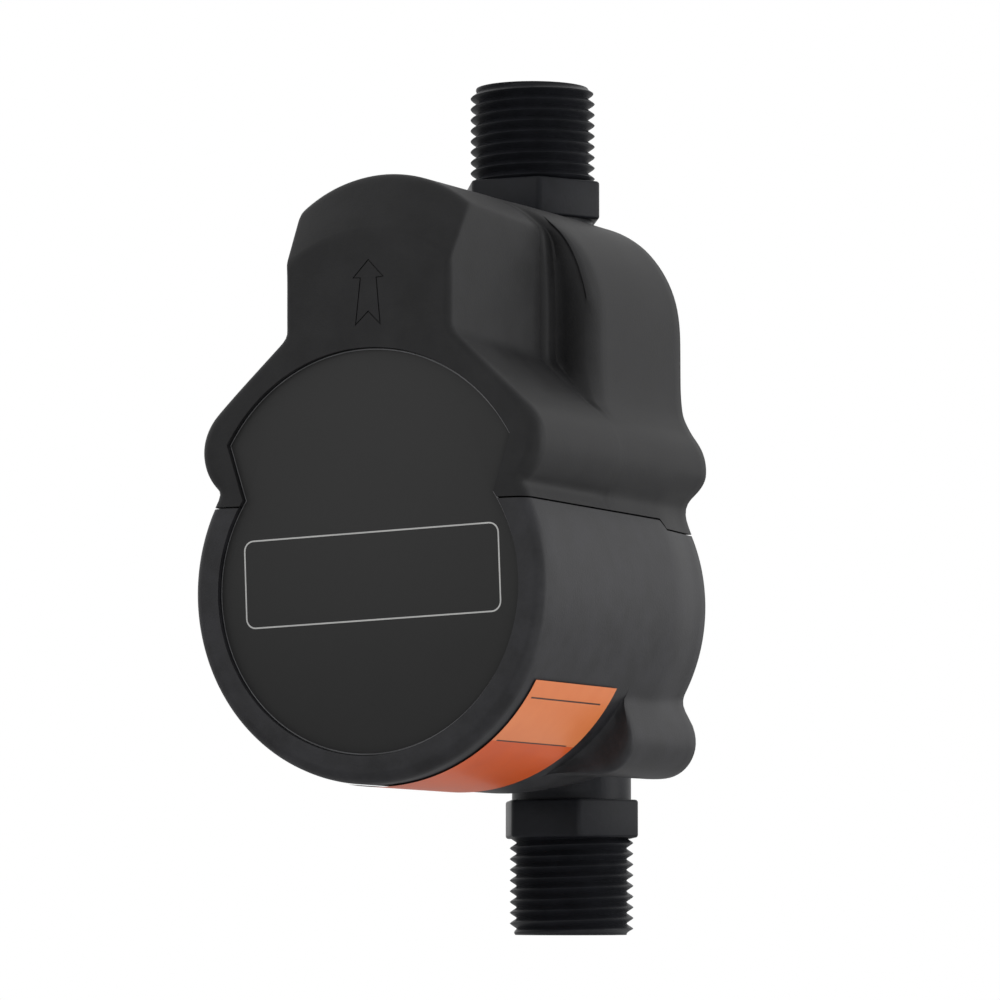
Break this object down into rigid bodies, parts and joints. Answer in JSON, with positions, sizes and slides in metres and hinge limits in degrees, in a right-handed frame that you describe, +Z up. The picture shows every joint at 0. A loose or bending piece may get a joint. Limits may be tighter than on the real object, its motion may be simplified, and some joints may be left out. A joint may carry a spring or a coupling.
{
  "type": "shower booster pump",
  "caption": "Inline booster pump for a shower: canned-rotor motor and controller in a black moulded casing, pump head behind with a threaded port above and below.",
  "frame": {"origin": "centre of the inlet port's end face, on the inlet's axis", "axes": "+Z up, from the inlet port to the outlet port; +Y towards the back, where the pump head is; +X to the right seen from the front"},
  "size_m": [0.0624, 0.0882, 0.1423],
  "materials": {
    "casing_plastic": "moulded, satin-matte black",
    "plate_film": "matte black printed film",
    "seal_foil": "semi-gloss orange film",
    "head_plastic": "moulded, semi-gloss blue-black",
    "seal_rubber": "matte black rubber",
    "can_plastic": "moulded grey",
    "ceramic": "ground white ceramic",
    "graphite": "graphite",
    "white_plastic": "moulded off-white",
    "magnet": "sintered ferrite",
    "lamination": "stacked steel sheet",
    "copper_wire": "enamelled copper",
    "board_laminate": "green solder mask",
    "lead_insulation": "red insulation",
    "capacitor_sleeve": "dark blue sleeve",
    "chip_resin": "black resin",
    "choke_core": "wound ferrite",
    "reed_glass": "clear glass",
    "stainless": "stainless steel"
  },
  "bodies": {
    "pump": {"upper_casing": "casing_plastic", "lower_casing": "casing_plastic", "rear_cover": "casing_plastic", "front_plate": "plate_film", "seal_label": "seal_foil", "pump_body": "head_plastic", "suction_cover": "head_plastic", "cover_oring": "seal_rubber", "can_oring": "seal_rubber", "separating_can": "can_plastic", "ceramic_shaft": "ceramic", "front_thrust_washer": "ceramic", "rear_thrust_washer": "ceramic", "stator_core": "lamination", "slot_insulators": "white_plastic", "stator_coils": "copper_wire", "winding_board": "board_laminate", "motor_leads": "lead_insulation", "control_board": "board_laminate", "lead_socket": "white_plastic", "capacitors": "capacitor_sleeve", "power_transistors": "chip_resin", "choke": "choke_core", "control_chip": "chip_resin", "reed_switch": "reed_glass", "float_stop": "stainless", "cable_gland": "seal_rubber", "casing_screws": "stainless", "cover_screws": "stainless", "can_screws": "stainless", "board_screws": "stainless"},
    "rotor": {"front_bush": "graphite", "rear_bush": "graphite", "rotor_hub": "white_plastic", "rotor_magnet": "magnet", "impeller": "white_plastic"},
    "float": {"flow_float": "white_plastic", "float_magnet": "magnet"}
  },
  "joints": [
    {"name": "rotor_spin", "type": "hinge", "parent": "pump", "child": "rotor", "pos_m": [0, -0.0154, 0.0542], "axis": [0, 1, 0], "continuous": true},
    {"name": "float_lift", "type": "slide", "parent": "pump", "child": "float", "axis": [0, 0, 1], "range_m": [0, 0.008]}
  ]
}
